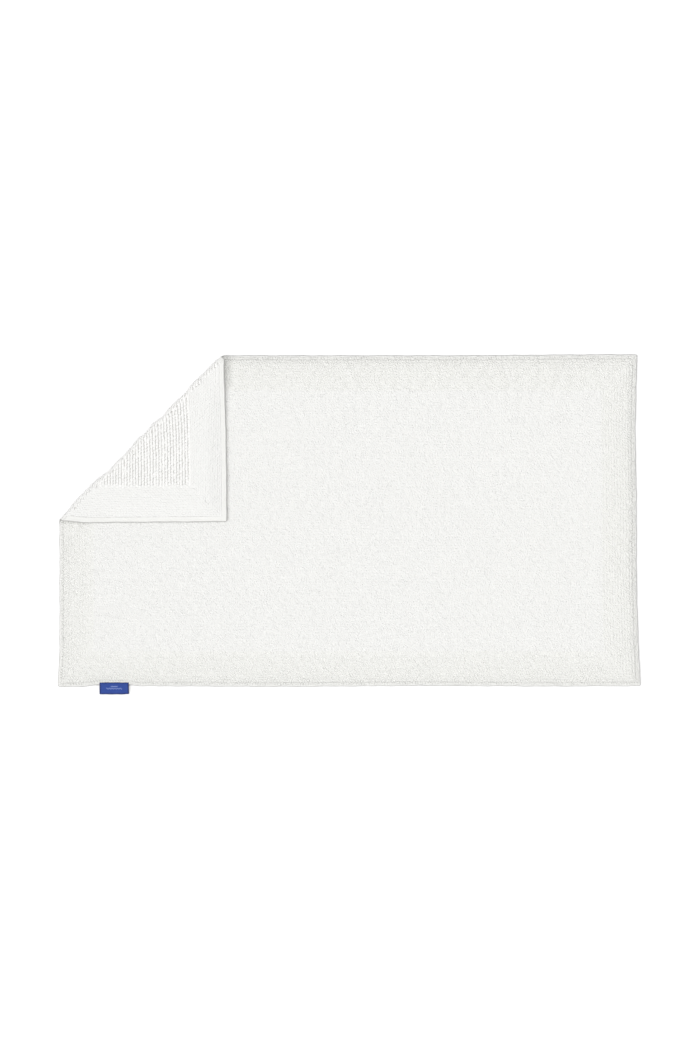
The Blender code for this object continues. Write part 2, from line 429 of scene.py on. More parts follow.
def bend_round(across, along, z):
    """Bends the strip at the crease. across is 0 at the mat and 1 at the flap, along runs from the
    left end to the back end in metres, and z is the height that the layer has in the flat mat."""
    across, along, z = (np.asarray(v, float) for v in (across, along, z))
    turn = across * math.pi
    pinch, reach = fold_shape(along)
    end = -BEND_START * np.cos(turn) + (pinch * FOLD_AXIS_Z - BEND_START) * np.sin(turn)
    share = along / CREASE_LENGTH
    place = end * (1 - share) + (CREASE_LENGTH - end) * share
    radius = FOLD_AXIS_Z - z
    from_crease = BEND_START - reach * radius * np.sin(turn)
    height = FOLD_AXIS_Z - radius * np.cos(turn)
    x = -HALF_LENGTH + (place + from_crease) / math.sqrt(2)
    y = (place - from_crease) / math.sqrt(2)
    return np.stack([x, y, height], -1)


def inside_fold(points):
    """Presses the pile back where it would stand out through the bend of the cloth."""
    x, y, z = np.asarray(points, float).T
    along = (x + HALF_LENGTH + y) / math.sqrt(2)
    radius = FOLD_AXIS_Z - CLOTH_Z[1]
    level = np.clip((z - FOLD_AXIS_Z) / radius, -1, 1)
    least = BEND_START + 0.0003 - fold_shape(along)[1] * radius * np.sqrt(1 - level**2)
    push = np.maximum(least - inward(x, y), 0) / math.sqrt(2)
    return np.stack([x + push, y - push, z], -1)


def cloth_rings(rows, columns):
    """Rings round a sheet: for each row, across its upper face and back along its lower face."""
    rings = []
    for y, start, end in rows:
        x = np.linspace(start, end, columns)
        upper = np.stack([x, np.full(columns, y), np.full(columns, CLOTH_Z[1])], -1)
        lower = upper[::-1].copy()
        lower[:, 2] = CLOTH_Z[0]
        rings.append(np.concatenate([upper, lower]))
    return np.array(rings)


def placed(rings, place):
    """The same rings, with every point put where place puts it."""
    return place(rings.reshape(-1, 3)).reshape(rings.shape)


weave = weave_material()
cloth_left = -HALF_LENGTH + CLOTH_INSET
cloth_end = HALF_WIDTH - CLOTH_INSET
crease_gap = BEND_START * math.sqrt(2)

mat_rows = []
for y in np.linspace(-cloth_end, cloth_end, round(2 * cloth_end / CLOTH_STEP)):
    start = max(cloth_left, y - HALF_LENGTH + crease_gap)
    mat_rows.append((y, start, HALF_LENGTH - CLOTH_INSET))
mat_rings = cloth_rings(mat_rows, 100)
mat_cloth = swept("cloth_mat", placed(mat_rings, lie_on_floor), weave)

flap_rows = []
for y in np.linspace(CLOTH_INSET + crease_gap + 0.0004, cloth_end, 30):
    flap_rows.append((y, cloth_left, y - HALF_LENGTH - crease_gap))
flap_rings = cloth_rings(flap_rows, 30)
flap_cloth = swept("cloth_flap", placed(flap_rings, fold_over), weave)

bend_steps = np.linspace(0, 1, 15)
bend_rings = []
for along in np.linspace(CLOTH_INSET * 1.5, CREASE_LENGTH - CLOTH_INSET * 1.5, 90):
    outer = bend_round(bend_steps, np.full(len(bend_steps), along), CLOTH_Z[0])
    inner = bend_round(bend_steps[::-1], np.full(len(bend_steps), along), CLOTH_Z[1])
    bend_rings.append(np.concatenate([outer, inner]))
crease_cloth = swept("cloth_crease", bend_rings, weave)

pieces_on = {"mat": [], "corner_flap": [], "fold": []}


def settle(piece, body, slot, *nodes):
    """Puts a piece on its body, in place of the plain nodes that it stands for. A piece that goes round
    the fold is put on no body; it stays where it is and is only listed under the fold."""
    if body == "fold":
        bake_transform(piece)
    else:
        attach(piece, body)
    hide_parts(*nodes)
    pieces_on[body].append(piece)


settle(mat_cloth, "mat", "backing_cloth", "backing_cloth")
settle(flap_cloth, "corner_flap", "backing_cloth", "flap_backing_cloth")
settle(crease_cloth, "fold", "backing_cloth", "crease_backing_cloth")

# ---------------------------------------------------------------------------
# Pile. Thick cotton yarn is punched through the cloth row by row and cut, so
# that each stitch leaves four soft ends. The rows of the field run the long way;
# the rows of the border run along each side, stand lower and end at the hem.
# ---------------------------------------------------------------------------
PILE_BASE = 0.0026
FIELD_TOP = 0.0099
BORDER_TOP = 0.0091
HEM_SIDE_TOP = 0.0048
BORDER_REACH = 0.060
HEM_REACH = 0.0050
ROW_PITCH = 0.00485
STITCH_PITCH = 0.0044
YARN_END_RADIUS = 0.00190
ENDS_PER_STITCH = 4
YARN_END_SIDES = 5
FIELD_PANELS = 5
KNOTS_PER_METRE = 430.0
LOFT_DEPTH = 0.0015
LOFT_STEP = 0.0065
LOFT_RIPPLE = 0.00016
# How far each cut end leans, as sideways over upright: out of its stitch, with the nap, at random,
# and out over the hem in the last rows.
SPREAD_LEAN = 0.16
NAP_LEAN = 0.55
STRAY_LEAN = 0.13
HEM_LEAN = 0.45
# The pile falls over these stretches: from field to border, at the hem, and slightly before it.
BORDER_FALL = (-0.011, 0.003)
HEM_FALL = (-0.006, 0.011)
EDGE_FALL = (0.010, 0.050)
EDGE_FALL_DEPTH = 0.0006
# The pile stops this far from the crease on both sides of it.
PILE_GAP = 0.0012

# Pile colours: the tips are the cotton as lit, and the darker root colours are painted shade deep in the
# pile.
FIELD_TIP_COLOUR = (0.790, 0.790, 0.777, 1)
FIELD_ROOT_SHADE_COLOUR = (0.765, 0.76, 0.74, 1)
BORDER_TIP_COLOUR = (0.791, 0.791, 0.765, 1)
BORDER_ROOT_SHADE_COLOUR = (0.765, 0.76, 0.73, 1)


def pile_material(name, tip, root, mottle_strength):
    """Dull, fluffy cut cotton: fibres along the yarn, painted shade that darkens each cut end towards its
    root, and soft patches of painted shade where the nap lies over."""
    material, nodes, shader, place = cloth_finish(name, 0.97, 0.25)
    tone = nodes.add("ShaderNodeAttribute", {"attribute_name": "tone"}, {}, "Fac")
    rise = nodes.add("ShaderNodeAttribute", {"attribute_name": "rise"}, {}, "Fac")
    patches = nodes.noise(place, 24.0, 3.0)
    specks = nodes.noise(place, 700.0, 2.0)
    # Painted shade: darker towards the root of each end and in soft patches, with random tone and specks.
    tone_and_painted_shade = rise.ease(0.25, 0.9, 0, 0.9) + (tone - 0.5) * 0.12
    tone_and_painted_shade = tone_and_painted_shade + (patches - 0.5) * mottle_strength + (specks - 0.5) * 0.18
    colour = nodes.mix(tone_and_painted_shade.maths("MINIMUM", tone_and_painted_shade, 1.0), root, tip)
    fibre_place = nodes.add(
        "ShaderNodeMapping", {}, {"Vector": place, "Scale": (2400.0, 2400.0, 1100.0)}
    )
    fibres = nodes.noise(fibre_place, 1.0, 4.0, 0.7)
    finish_with(nodes, shader, colour, fibres, 0.0009, 0.6)
    return material


def bed_material(name, tip, root):
    """The matted fibres between the cut ends: small soft knots with shadowed gaps."""
    material, nodes, shader, place = cloth_finish(name, 0.97, 0.25)
    stray = nodes.noise(place, 300.0).also("Color")
    bent = nodes.add("ShaderNodeVectorMath", {"operation": "SCALE"}, {0: stray, "Scale": 0.0016})
    there = nodes.add("ShaderNodeVectorMath", {"operation": "ADD"}, {0: place, 1: bent})
    knots = nodes.add(
        "ShaderNodeTexVoronoi",
        {"feature": "SMOOTH_F1"},
        {"Vector": there, "Scale": KNOTS_PER_METRE, "Smoothness": 0.25},
        "Distance",
    )
    lump = knots.ease(0.15, 0.75, 1.0, 0.0)
    fibres = nodes.noise(place, 2400.0, 4.0, 0.7)
    # The gaps between the knots take the darker root colour: painted shade.
    colour = nodes.mix((lump + (fibres - 0.5) * 0.4).ease(0.0, 1.0, 0.0, 1.0), root, tip)
    finish_with(nodes, shader, colour, lump + fibres * 0.45, 0.0012, 0.65)
    return material


def new_tree(name, inputs, output):
    """An empty geometry tree: what goes in, with its socket types, and what comes out."""
    tree = bpy.data.node_groups.new(name, "GeometryNodeTree")
    for label, kind in inputs.items():
        tree.interface.new_socket(label, in_out="INPUT", socket_type=kind)
    tree.interface.new_socket(output, in_out="OUTPUT", socket_type="NodeSocketGeometry")
    nodes = Nodes(tree)
    return tree, nodes, nodes.add("NodeGroupInput")


def stitch_places(nodes, panel, given):
    """One point for each stitch of the rows that cross a flat panel. The rows run along X."""
    low = nodes.add("GeometryNodeBoundBox", {}, {"Geometry": panel}, "Min")
    low_at = nodes.add("ShaderNodeSeparateXYZ", {}, {"Vector": low})
    high_at = nodes.add("ShaderNodeSeparateXYZ", {}, {"Vector": low.also("Max")})
    stitch, row = given.also("Stitch Pitch"), given.also("Row Pitch")
    first_stitch = (low_at.also("X") / stitch).floor() - 1
    first_row = (low_at.also("Y") / row).floor()
    stitches = (high_at.also("X") / stitch).floor() - first_stitch + 2
    rows = (high_at.also("Y") / row).floor() - first_row + 2
    index = nodes.add("GeometryNodeInputIndex")
    row_number = (index / stitches + 0.0001).floor() + first_row
    stagger = (row_number * 0.5) % 1
    x = (index % stitches + first_stitch + stagger) * stitch
    place = nodes.add("ShaderNodeCombineXYZ", {}, {"X": x, "Y": row_number * row})
    points = nodes.add("GeometryNodePoints", {}, {"Count": stitches * rows, "Position": place})
    above = nodes.add("ShaderNodeCombineXYZ", {}, {"X": x, "Y": row_number * row, "Z": 1.0})
    over_panel = nodes.add(
        "GeometryNodeRaycast",
        {},
        {
            "Target Geometry": panel,
            "Source Position": above,
            "Ray Direction": (0.0, 0.0, -1.0),
            "Ray Length": 2.0,
        },
        "Is Hit",
    )
    missed = nodes.add("FunctionNodeBooleanMath", {"operation": "NOT"}, {0: over_panel})
    return nodes.add(
        "GeometryNodeDeleteGeometry", {"domain": "POINT"}, {"Geometry": points, "Selection": missed}
    )


def random_value(nodes, low, high, given, step):
    """A random number for each point. step keeps one draw apart from the next."""
    return nodes.add(
        "FunctionNodeRandomValue",
        {"data_type": "FLOAT"},
        {"Min": low, "Max": high, "Seed": given.also("Seed") + step},
    )


def finished_shape(nodes, instances, given):
    """Turns instances into one smooth mesh in its material, which is how every tree ends."""
    whole = nodes.add("GeometryNodeRealizeInstances", {}, {"Geometry": instances})
    smooth = nodes.add("GeometryNodeSetShadeSmooth", {}, {"Geometry": whole})
    painted = nodes.add(
        "GeometryNodeSetMaterial", {}, {"Geometry": smooth, "Material": given.also("Material")}
    )
    nodes.add("NodeGroupOutput", {}, {0: painted})


def tuft_tree():
    """Rows of stitches over a panel, each with a few cut ends that lean apart."""
    number = "NodeSocketFloat"
    tree, nodes, given = new_tree(
        "Cut pile",
        {
            "Panel": "NodeSocketGeometry",
            "Row Pitch": number,
            "Stitch Pitch": number,
            "Half Across": number,
            "Field Top": number,
            "Border Top": number,
            "Hem Side Top": number,
            "Border Reach": number,
            "Hem Reach": number,
            "Base": number,
            "End Radius": number,
            "Ends": "NodeSocketInt",
            "Sides": "NodeSocketInt",
            "Wander": number,
            "Seed": "NodeSocketInt",
            "Material": "NodeSocketMaterial",
        },
        "Tufts",
    )
    stitches = stitch_places(nodes, given, given)
    place = nodes.add("GeometryNodeInputPosition")
    at = nodes.add("ShaderNodeSeparateXYZ", {}, {"Vector": place})
    ends = nodes.add(
        "GeometryNodeDuplicateElements",
        {"domain": "POINT"},
        {"Geometry": stitches, "Amount": given.also("Ends")},
    )
    chance = nodes.add("ShaderNodeTexWhiteNoise", {}, {"Vector": place}, "Value")
    turn = ends.also("Duplicate Index") * (2 * math.pi / ENDS_PER_STITCH) + chance * 6.28
    turn = turn + random_value(nodes, -0.5, 0.5, given, 1)
    spread = given.also("Wander") * random_value(nodes, 0.7, 1.3, given, 2)
    out_x, out_y = turn.cosine(), turn.sine()
    stray_x = random_value(nodes, -0.35, 0.35, given, 3)
    stray_y = random_value(nodes, -0.35, 0.35, given, 4)
    inset = given.also("Half Across") - at.also("Y").size()
    shift = nodes.add(
        "ShaderNodeCombineXYZ",
        {},
        {
            "X": (out_x + stray_x) * spread,
            "Y": (out_y + stray_y) * spread,
            "Z": given.also("Base"),
        },
    )
    placed = nodes.add("GeometryNodeSetPosition", {}, {"Geometry": ends, "Offset": shift})

    # The nap lies over in soft patches, each end leans out of its stitch, and the last rows lean
    # out over the hem.
    nap = nodes.add("ShaderNodeTexNoise", {}, {"Vector": place, "Scale": 30.0, "Detail": 1.0}, "Color")
    nap_at = nodes.add("ShaderNodeSeparateXYZ", {}, {"Vector": nap})
    hem = given.also("Hem Reach")
    over_hem = inset.ease(hem, hem + 0.006, -HEM_LEAN, 0)
    lean_x = out_x * SPREAD_LEAN + (nap_at.also("X") - 0.5) * NAP_LEAN
    lean_x = lean_x + random_value(nodes, -STRAY_LEAN, STRAY_LEAN, given, 5)
    lean_y = out_y * SPREAD_LEAN + (nap_at.also("Y") - 0.5) * NAP_LEAN
    lean_y = lean_y + random_value(nodes, -STRAY_LEAN, STRAY_LEAN, given, 6)
    lean = nodes.add("ShaderNodeCombineXYZ", {}, {"X": lean_x, "Y": lean_y + over_hem, "Z": 1.0})
    upright = nodes.add("FunctionNodeAlignRotationToVector", {"axis": "Z"}, {"Vector": lean})
    spin = nodes.add(
        "FunctionNodeAxisAngleToRotation",
        {},
        {"Axis": (0.0, 0.0, 1.0), "Angle": random_value(nodes, 0.0, 6.28, given, 7)},
    )
    turned = nodes.add(
        "FunctionNodeRotateRotation",
        {"rotation_space": "LOCAL"},
        {"Rotation": upright, "Rotate By": spin},
    )

    border, low_top = given.also("Border Reach"), given.also("Border Top")
    top = inset.ease(border + BORDER_FALL[0], border + BORDER_FALL[1], low_top, given.also("Field Top"))
    fall = low_top - given.also("Hem Side Top")
    round_off = inset.ease(hem + HEM_FALL[0], hem + HEM_FALL[1], fall, 0)
    top = top - round_off - inset.ease(*EDGE_FALL, EDGE_FALL_DEPTH, 0)
    height = (top - given.also("Base")) * random_value(nodes, 0.90, 1.0, given, 8)
    width = given.also("End Radius") * random_value(nodes, 0.85, 1.2, given, 9)
    depth = given.also("End Radius") * random_value(nodes, 0.85, 1.2, given, 10)
    size = nodes.add("ShaderNodeCombineXYZ", {}, {"X": width, "Y": depth, "Z": height})

    # One cut end: narrow at the cloth, widest a little below its domed tip.
    ball = nodes.add("GeometryNodeMeshUVSphere", {}, {"Segments": given.also("Sides"), "Rings": 2})
    ball_at = nodes.add("ShaderNodeSeparateXYZ", {}, {"Vector": place})
    rim = ball_at.also("Z").size().ease(0.2, 0.8, 0.78, 0.0)
    rise = (ball_at.also("Z") * 0.5 + 0.5) * rim.maths("LESS_THAN", rim, 0.3) + rim
    raised = nodes.add(
        "ShaderNodeCombineXYZ", {}, {"X": ball_at.also("X"), "Y": ball_at.also("Y"), "Z": rise}
    )
    cut_end = nodes.add("GeometryNodeSetPosition", {}, {"Geometry": ball, "Position": raised})
    # Its height along the end, from which the pile material paints shade towards the root.
    cut_end = nodes.add(
        "GeometryNodeStoreNamedAttribute",
        {"data_type": "FLOAT", "domain": "POINT"},
        {"Geometry": cut_end, "Name": "rise", "Value": at.also("Z")},
    )
    planted = nodes.add(
        "GeometryNodeInstanceOnPoints",
        {},
        {"Points": placed, "Instance": cut_end, "Rotation": turned, "Scale": size},
    )
    toned = nodes.add(
        "GeometryNodeStoreNamedAttribute",
        {"data_type": "FLOAT", "domain": "INSTANCE"},
        {"Geometry": planted, "Name": "tone", "Value": random_value(nodes, 0.0, 1.0, given, 11)},
    )
    finished_shape(nodes, toned, given)
    return tree


def clipped(outline, least):
    """The part of an outline that lies at least so far from the crease on the mat's side. A
    negative distance keeps the flap's side."""
    sign = 1 if least > 0 else -1
    kept = []
    for (x, y), (next_x, next_y) in zip(outline, outline[1:] + outline[:1]):
        here, there = sign * inward(x, y) - abs(least), sign * inward(next_x, next_y) - abs(least)
        if here >= 0:
            kept.append((x, y))
        if here * there < 0:
            part = here / (here - there)
            kept.append((x + part * (next_x - x), y + part * (next_y - y)))
    return kept


QUARTERS = {"front": 0, "right": 1, "back": 2, "left": 3}


def turned_back(outline, side):
    """An outline seen in the frame of one side's rows, which run along X with the edge at -Y."""
    for _ in range(QUARTERS[side]):
        outline = [(y, -x) for x, y in outline]
    return outline


def mesh_points(piece):
    found = np.empty(len(piece.data.vertices) * 3, np.float32)
    piece.data.vertices.foreach_get("co", found)
    return found.reshape(-1, 3).astype(float)


def move_points(piece, points):
    piece.data.vertices.foreach_set("co", np.asarray(points, np.float32).ravel())
    piece.data.update()


def made_by(tree, name, start, settings):
    """Runs a geometry tree on a starting mesh and keeps what it makes as one plain mesh."""
    piece = bpy.data.objects.new(name, start)
    scene.collection.objects.link(piece)
    modifier = piece.modifiers.new("Stitches", "NODES")
    modifier.node_group = tree
    for item in tree.interface.items_tree:
        if item.in_out == "INPUT" and item.name in settings:
            modifier[item.identifier] = settings[item.name]
    ready = piece.evaluated_get(bpy.context.evaluated_depsgraph_get())
    mesh = bpy.data.meshes.new_from_object(ready)
    piece.modifiers.clear()
    piece.data = mesh
    bpy.data.meshes.remove(start)
    return piece


def grown(name, tree, outline, settings, side="front"):
    """Rows of stitches over a panel. The rows of a side panel run along that side."""
    panel = bpy.data.meshes.new(name + "_panel")
    flat = turned_back(outline, side)
    panel.from_pydata([(x, y, 0.0) for x, y in flat], [], [tuple(range(len(flat)))])
    piece = made_by(tree, name, panel, settings)
    points = mesh_points(piece)
    for _ in range(QUARTERS[side]):
        points = np.stack([-points[:, 1], points[:, 0], points[:, 2]], -1)
    move_points(piece, points)
    return piece


def pile_on_mat(points):
    return inside_fold(lie_on_floor(points))


def pile_on_flap(points):
    return inside_fold(fold_over(points))


def lay(piece, place):
    """Puts every point of a flat piece where place puts it, and maps the piece."""
    move_points(piece, place(mesh_points(piece)))
    plan_map(piece)


def plan_map(piece):
    """A map of the piece as seen from above, so that its colours are laid out as they lie."""
    points = mesh_points(piece)
    corners = np.empty(len(piece.data.loops), np.int32)
    piece.data.loops.foreach_get("vertex_index", corners)
    low, high = points[:, :2].min(0), points[:, :2].max(0)
    plan = (points[corners][:, :2] - low) / (high - low).max()
    layer = piece.data.uv_layers.new(name="OFBake")
    layer.uv.foreach_set("vector", plan.astype(np.float32).ravel())


def band_outline(side, outer, inner):
    """The mitred band along one side, from outer to inner metres in from the edge."""
    x, y = HALF_LENGTH - outer, HALF_WIDTH - outer
    deep_x, deep_y = HALF_LENGTH - inner, HALF_WIDTH - inner
    return {
        "front": [(-x, -y), (x, -y), (deep_x, -deep_y), (-deep_x, -deep_y)],
        "right": [(x, -y), (x, y), (deep_x, deep_y), (deep_x, -deep_y)],
        "back": [(x, y), (-x, y), (-deep_x, deep_y), (deep_x, deep_y)],
        "left": [(-x, y), (-x, -y), (-deep_x, -deep_y), (-deep_x, deep_y)],
    }[side]


field_cotton = pile_material("Field pile cotton", FIELD_TIP_COLOUR, FIELD_ROOT_SHADE_COLOUR, 0.22)
border_cotton = pile_material("Border pile cotton", BORDER_TIP_COLOUR, BORDER_ROOT_SHADE_COLOUR, 0.5)
matted_cotton = bed_material("Matted pile cotton", FIELD_TIP_COLOUR, FIELD_ROOT_SHADE_COLOUR)
cut_pile = tuft_tree()
pile_sizes = {
    "Row Pitch": ROW_PITCH,
    "Stitch Pitch": STITCH_PITCH,
    "Half Across": HALF_WIDTH,
    "Field Top": FIELD_TOP,
    "Border Top": BORDER_TOP,
    "Hem Side Top": HEM_SIDE_TOP,
    "Border Reach": BORDER_REACH,
    "Hem Reach": HEM_REACH,
    "Base": PILE_BASE,
    "End Radius": YARN_END_RADIUS,
    "Ends": ENDS_PER_STITCH,
    "Sides": YARN_END_SIDES,
    "Wander": 0.00115,
    "Seed": 11,
}
field_x, field_y = HALF_LENGTH - BORDER_REACH, HALF_WIDTH - BORDER_REACH


def field_panel(start, end):
    """The outline of the field between two places along the mat."""
    return [(start, -field_y), (end, -field_y), (end, field_y), (start, field_y)]


panel_edges = np.linspace(-field_x, field_x, FIELD_PANELS + 1)
for number, (start, end) in enumerate(zip(panel_edges, panel_edges[1:]), 1):
    panel = clipped(field_panel(start, end), PILE_GAP)
    sizes = {**pile_sizes, "Seed": 11 + number, "Material": field_cotton}
    piece = grown(f"pile_field_{number}", cut_pile, panel, sizes)
    lay(piece, pile_on_mat)
    settle(piece, "mat", "field_pile", "field_pile")

for seed, side in enumerate(("front", "right", "back", "left"), 31):
    band = band_outline(side, HEM_REACH - 0.0002, BORDER_REACH)
    half_across = HALF_WIDTH if side in ("front", "back") else HALF_LENGTH
    sizes = {**pile_sizes, "Half Across": half_across, "Seed": seed, "Material": border_cotton}
    piece = grown(f"pile_border_{side}", cut_pile, clipped(band, PILE_GAP), sizes, side)
    lay(piece, pile_on_mat)
    settle(piece, "mat", "border_pile", f"border_pile_{side}")
    if side in ("back", "left"):
        sizes["Seed"] = seed + 10
        piece = grown(f"pile_flap_border_{side}", cut_pile, clipped(band, -PILE_GAP), sizes, side)
        lay(piece, pile_on_flap)
        settle(piece, "corner_flap", "border_pile", f"flap_border_pile_{side}")

corner_end = -0.2
corner = [(-field_x, 0.0), (corner_end, 0.0), (corner_end, field_y), (-field_x, field_y)]
sizes = {**pile_sizes, "Seed": 51, "Material": field_cotton}
piece = grown("pile_flap_field", cut_pile, clipped(corner, -PILE_GAP), sizes)
lay(piece, pile_on_flap)
settle(piece, "corner_flap", "field_pile", "flap_field_pile")

# Between the cut ends the fibres mat together into a soft bed, a little below the tips.
def loft_top(x, y):
    """The height of that bed at a point of the flat mat."""
    inset = np.minimum(HALF_LENGTH - np.abs(x), HALF_WIDTH - np.abs(y))
    in_border = 1 - eased(inset, BORDER_REACH + BORDER_FALL[0], BORDER_REACH + BORDER_FALL[1])
    at_hem = 1 - eased(inset, HEM_REACH + HEM_FALL[0], HEM_REACH + HEM_FALL[1])
    top = FIELD_TOP + (BORDER_TOP - FIELD_TOP) * in_border - (BORDER_TOP - HEM_SIDE_TOP) * at_hem
    top = top - EDGE_FALL_DEPTH * (1 - eased(inset, *EDGE_FALL)) - LOFT_DEPTH
    ripple = np.sin(x * 1460 + 3 * np.sin(y * 610)) + np.sin(y * 1295 + 3 * np.sin(x * 700))
    return top + LOFT_RIPPLE * ripple


def spaced_out(start, end, close_start, close_end):
    """Places from start to end, closer together at the ends that come down to the hem."""
    close = np.array([0, 0.0012, 0.0026, 0.0045, 0.0075])
    middle = np.linspace(start, end, max(4, round((end - start) / LOFT_STEP)))
    if close_start:
        middle = np.concatenate([start + close, middle[middle > start + 0.010]])
    if close_end:
        middle = np.concatenate([middle[middle < end - 0.010], end - close[::-1]])
    return middle


def loft_rings(rows, columns, close_start, close_end):
    """Rings round the bed: for each row, across its top and back along the cloth."""
    rings = []
    for y, start, end in rows:
        span = spaced_out(0, end - start, close_start, close_end)
        x = start + np.interp(np.linspace(0, 1, columns), np.linspace(0, 1, len(span)), span)
        upper = np.stack([x, np.full(columns, y), loft_top(x, np.full(columns, y))], -1)
        lower = upper[::-1].copy()
        lower[:, 2] = PILE_BASE
        rings.append(np.concatenate([upper, lower]))
    return np.array(rings)


loft_edge = HEM_REACH - 0.0004
crease_side = 0.0008 * math.sqrt(2)
rows = []
for y in spaced_out(-HALF_WIDTH + loft_edge, HALF_WIDTH - loft_edge, True, True):
    rows.append((y, max(-HALF_LENGTH + loft_edge, y - HALF_LENGTH + crease_side), HALF_LENGTH - loft_edge))
rings = loft_rings(rows, 150, True, True)
piece = swept("pile_bed_mat", placed(rings, pile_on_mat), matted_cotton)
plan_map(piece)
settle(piece, "mat", "field_pile", "field_pile")

rows = []
for y in spaced_out(loft_edge + crease_side + 0.0006, HALF_WIDTH - loft_edge, False, True):
    rows.append((y, -HALF_LENGTH + loft_edge, y - HALF_LENGTH - crease_side))
rings = loft_rings(rows, 44, True, False)
piece = swept("pile_bed_flap", placed(rings, pile_on_flap), matted_cotton)
plan_map(piece)
settle(piece, "corner_flap", "field_pile", "flap_field_pile")

# ---------------------------------------------------------------------------
# Back stitches. Under the cloth the same yarn lies in short slanting stitches,
# end to end, so that each row makes a rib. Nothing coats them. Under the border
# the stitches are longer and pulled flatter, so that band looks smoother.
# ---------------------------------------------------------------------------
BACK_Z = 0.0013
BACK_STITCH_LENGTH = 0.0062
BACK_STITCH_STEP = 0.0052
BACK_STITCH_WIDTH = 0.0060
BORDER_ROW_PITCH = 0.0030
BORDER_STITCH_WIDTH = 0.0054
BORDER_STITCH_HEIGHT = 0.0013
# Crown and groove colours of the back yarn: the grooves are painted paler than the crowns, which evens out
# the shade between the ribs.
BACK_YARN_COLOUR = (0.850, 0.845, 0.830, 1)
BACK_GROOVE_COLOUR = (0.93, 0.925, 0.91, 1)
FLAT_YARN_COLOUR = (0.785, 0.783, 0.768, 1)
FLAT_GROOVE_COLOUR = (0.800, 0.798, 0.783, 1)
PLY_PITCH = 0.0011
# The band of flat stitches starts where the hem tape ends.
BACK_BAND_START = 0.0098
# The bent strip of ribs stops this far from the ends of the crease, for the hem.
CREASE_HEM = 0.0112
# It runs on under both sides by this share of its width.
STRIP_OVERLAP = 0.08


def back_yarn_material(name, crown, groove, unevenness):
    """Loose two-ply cotton: slanting plies and stray fibres, with the crowns painted a little greyer than
    the grooves between them. This is painted light in the grooves that evens out their shade."""
    material, nodes, shader, place = cloth_finish(name, 0.95, 0.2)
    crest = nodes.add("ShaderNodeAttribute", {"attribute_name": "rise"}, {}, "Fac")
    tone = nodes.add("ShaderNodeAttribute", {"attribute_name": "tone"}, {}, "Fac")
    wobble = nodes.noise(place, 260.0)
    apart = nodes.add("ShaderNodeSeparateXYZ", {}, {"Vector": place})
    slant = (apart.also("X") + apart.also("Y")) * (math.pi / PLY_PITCH) + wobble * 5.0
    plies = slant.sine().size()
    hairs = nodes.noise(place, 2300.0, 3.0, 0.6)
    # Painted shade and light: the crowns go greyer and the grooves paler, with random tone and stray
    # fibres.
    painted_shade_and_tone = crest.ease(0.66, 0.96, 0.0, 0.9) + ((tone - 0.5) * 0.2 + (hairs - 0.5) * 0.3) * unevenness
    colour = nodes.mix(painted_shade_and_tone.maths("MINIMUM", painted_shade_and_tone, 1.0), groove, crown)
    finish_with(nodes, shader, colour, plies * 0.5 + hairs, 0.00035 * unevenness)
    return material


def back_stitch_tree():
    """Rows of single stitches over a panel, each a plump yarn lying along its row."""
    number = "NodeSocketFloat"
    tree, nodes, given = new_tree(
        "Back stitches",
        {
            "Panel": "NodeSocketGeometry",
            "Row Pitch": number,
            "Stitch Pitch": number,
            "Length": number,
            "Width": number,
            "Height": number,
            "Slant": number,
            "Segments": "NodeSocketInt",
            "Rings": "NodeSocketInt",
            "Seed": "NodeSocketInt",
            "Material": "NodeSocketMaterial",
        },
        "Stitches",
    )
    stitches = stitch_places(nodes, given, given)
    shift = nodes.add(
        "ShaderNodeCombineXYZ",
        {},
        {
            "X": random_value(nodes, -0.0004, 0.0004, given, 1),
            "Y": random_value(nodes, -0.00035, 0.00035, given, 2),
            "Z": given.also("Height") * random_value(nodes, 0.46, 0.56, given, 3),
        },
    )
    placed = nodes.add("GeometryNodeSetPosition", {}, {"Geometry": stitches, "Offset": shift})
    yaw = given.also("Slant") + random_value(nodes, -0.14, 0.14, given, 4)
    pitch = random_value(nodes, -0.03, 0.03, given, 5)
    turned = nodes.add("ShaderNodeCombineXYZ", {}, {"Y": pitch, "Z": yaw})
    size = nodes.add(
        "ShaderNodeCombineXYZ",
        {},
        {
            "X": given.also("Length") * random_value(nodes, 0.46, 0.56, given, 6),
            "Y": given.also("Width") * random_value(nodes, 0.42, 0.55, given, 7),
            "Z": given.also("Height") * random_value(nodes, 0.42, 0.5, given, 8),
        },
    )
    place = nodes.add("GeometryNodeInputPosition")
    at = nodes.add("ShaderNodeSeparateXYZ", {}, {"Vector": place})
    ball = nodes.add(
        "GeometryNodeMeshUVSphere",
        {},
        {"Segments": given.also("Segments"), "Rings": given.also("Rings")},
    )
    laid = nodes.add(
        "GeometryNodeTransform", {}, {"Geometry": ball, "Rotation": (0.0, math.pi / 2, 0.0)}
    )
    marked = nodes.add(
        "GeometryNodeStoreNamedAttribute",
        {"data_type": "FLOAT", "domain": "POINT"},
        {"Geometry": laid, "Name": "rise", "Value": 0.5 - at.also("Z") * 0.5},
    )
    planted = nodes.add(
        "GeometryNodeInstanceOnPoints",
        {},
        {"Points": placed, "Instance": marked, "Rotation": turned, "Scale": size},
    )
    toned = nodes.add(
        "GeometryNodeStoreNamedAttribute",
        {"data_type": "FLOAT", "domain": "INSTANCE"},
        {"Geometry": planted, "Name": "tone", "Value": random_value(nodes, 0.0, 1.0, given, 9)},
    )
    finished_shape(nodes, toned, given)
    return tree


